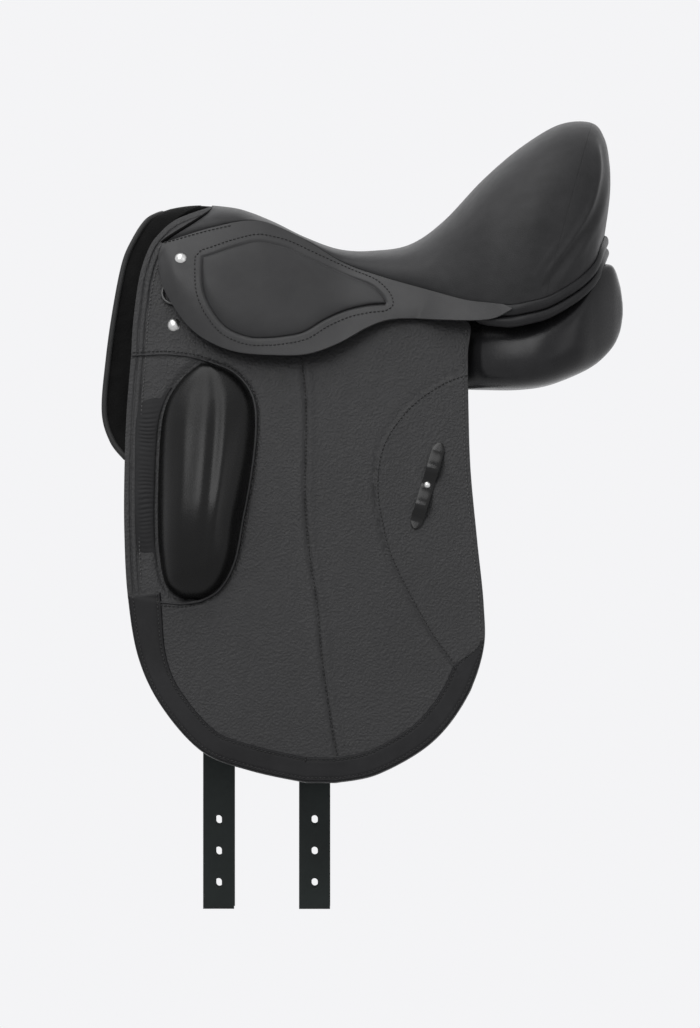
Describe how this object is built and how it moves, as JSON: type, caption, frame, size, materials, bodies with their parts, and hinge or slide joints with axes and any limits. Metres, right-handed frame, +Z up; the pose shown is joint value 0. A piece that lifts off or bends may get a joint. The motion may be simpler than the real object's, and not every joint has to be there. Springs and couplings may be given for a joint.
{
  "type": "dressage saddle",
  "caption": "Black leather dressage saddle with a deep seat, long straight flaps, outer knee blocks, lifting skirts over stirrup bars and long girth straps.",
  "frame": {"origin": "middle line of the gullet's roof, under the lowest part of the seat", "axes": "+X to the rear, +Y to the right of the rider, +Z up"},
  "size_m": [0.5271, 0.4398, 0.8016],
  "materials": {
    "beech": "moulded beech laminate",
    "steel": "brushed steel",
    "spring_steel": "blued spring steel",
    "silver": "polished nickel plate",
    "webbing": "woven webbing",
    "foam": "dense seat foam",
    "seat_leather": "soft black leather with a fine grain",
    "welt_leather": "black leather rolled over a cord",
    "lining": "black lining leather",
    "panel_leather": "soft black leather with a sheen",
    "suede": "black brushed leather with a bound edge",
    "flap_leather": "black pebbled leather",
    "band_leather": "black brushed leather",
    "block_leather": "glossy soft black leather",
    "skirt_leather": "smooth black leather",
    "inset_leather": "soft black leather",
    "strap_leather": "black waxed strap leather with a raw edge",
    "keeper_leather": "glossy black leather"
  },
  "bodies": {
    "saddle": {"tree_head": "beech", "tree_rail_left": "beech", "tree_rail_right": "beech", "tree_cantle": "beech", "head_plate": "steel", "spring_left": "spring_steel", "spring_right": "spring_steel", "seat_webs": "webbing", "seat_foam": "foam", "seat_cover": "seat_leather", "cantle_back": "seat_leather", "seat_welt": "welt_leather", "panel_welt": "welt_leather", "gullet_lining": "lining", "panel_left": "panel_leather", "panel_right": "panel_leather", "front_arch": "suede", "flap_head_left": "flap_leather", "flap_head_right": "flap_leather", "skirt_left": "skirt_leather", "skirt_right": "skirt_leather", "skirt_pad_left": "inset_leather", "skirt_pad_right": "inset_leather", "skirt_nails": "silver", "flap_nails": "silver", "girth_web_left": "webbing", "girth_web_right": "webbing", "strap_rivets": "steel", "stirrup_bar_left": "steel", "stirrup_bar_right": "steel", "catch_pins": "steel", "dee_clips": "steel"},
    "flap_left": {"flap_left": "flap_leather", "flap_band_left": "band_leather", "knee_block_left": "block_leather", "keeper_left": "keeper_leather", "keeper_studs_left": "silver"},
    "skirt_left": {"skirt_tail_left": "skirt_leather", "pad_tail_left": "inset_leather"},
    "catch_left": {"bar_catch_left": "steel"},
    "front_strap_left": {"strap_front_left": "strap_leather"},
    "rear_strap_left": {"strap_rear_left": "strap_leather"},
    "dee_left": {"dee_ring_left": "silver"},
    "flap_right": {"flap_right": "flap_leather", "flap_band_right": "band_leather", "knee_block_right": "block_leather", "keeper_right": "keeper_leather", "keeper_studs_right": "silver"},
    "skirt_right": {"skirt_tail_right": "skirt_leather", "pad_tail_right": "inset_leather"},
    "catch_right": {"bar_catch_right": "steel"},
    "front_strap_right": {"strap_front_right": "strap_leather"},
    "rear_strap_right": {"strap_rear_right": "strap_leather"},
    "dee_right": {"dee_ring_right": "silver"}
  },
  "joints": [
    {"name": "flap_lift_left", "type": "hinge", "parent": "saddle", "child": "flap_left", "pos_m": [0, -0.10868, -0.0583], "axis": [-0.994, 0.1093, 0], "range_deg": [0, 24]},
    {"name": "skirt_lift_left", "type": "hinge", "parent": "saddle", "child": "skirt_left", "pos_m": [-0.19, -0.1085, 0.008], "axis": [-0.9933, 0.0365, 0.1095], "range_deg": [0, 30]},
    {"name": "catch_turn_left", "type": "hinge", "parent": "saddle", "child": "catch_left", "pos_m": [-0.06996, -0.09283, -0.01475], "axis": [-0.1048, -0.9528, 0.2848], "range_deg": [0, 80]},
    {"name": "front_strap_swing_left", "type": "hinge", "parent": "saddle", "child": "front_strap_left", "pos_m": [-0.134, -0.08348, -0.076], "axis": [0, 1, 0], "range_deg": [-10, 10]},
    {"name": "rear_strap_swing_left", "type": "hinge", "parent": "saddle", "child": "rear_strap_left", "pos_m": [-0.0365, -0.0942, -0.076], "axis": [0, 1, 0], "range_deg": [-10, 10]},
    {"name": "dee_lift_left", "type": "hinge", "parent": "saddle", "child": "dee_left", "pos_m": [-0.18035, -0.07339, 0.00602], "axis": [0.0327, 0.297, 0.9543], "range_deg": [0, 8]},
    {"name": "flap_lift_right", "type": "hinge", "parent": "saddle", "child": "flap_right", "pos_m": [0, 0.10868, -0.0583], "axis": [0.994, 0.1093, 0], "range_deg": [0, 24]},
    {"name": "skirt_lift_right", "type": "hinge", "parent": "saddle", "child": "skirt_right", "pos_m": [-0.19, 0.1085, 0.008], "axis": [0.9933, 0.0365, -0.1095], "range_deg": [0, 30]},
    {"name": "catch_turn_right", "type": "hinge", "parent": "saddle", "child": "catch_right", "pos_m": [-0.06996, 0.09283, -0.01475], "axis": [0.1048, -0.9528, -0.2848], "range_deg": [0, 80]},
    {"name": "front_strap_swing_right", "type": "hinge", "parent": "saddle", "child": "front_strap_right", "pos_m": [-0.134, 0.08348, -0.076], "axis": [0, 1, 0], "range_deg": [-10, 10]},
    {"name": "rear_strap_swing_right", "type": "hinge", "parent": "saddle", "child": "rear_strap_right", "pos_m": [-0.0365, 0.0942, -0.076], "axis": [0, 1, 0], "range_deg": [-10, 10]},
    {"name": "dee_lift_right", "type": "hinge", "parent": "saddle", "child": "dee_right", "pos_m": [-0.18035, 0.07339, 0.00602], "axis": [-0.0327, 0.297, -0.9543], "range_deg": [0, 8]}
  ]
}
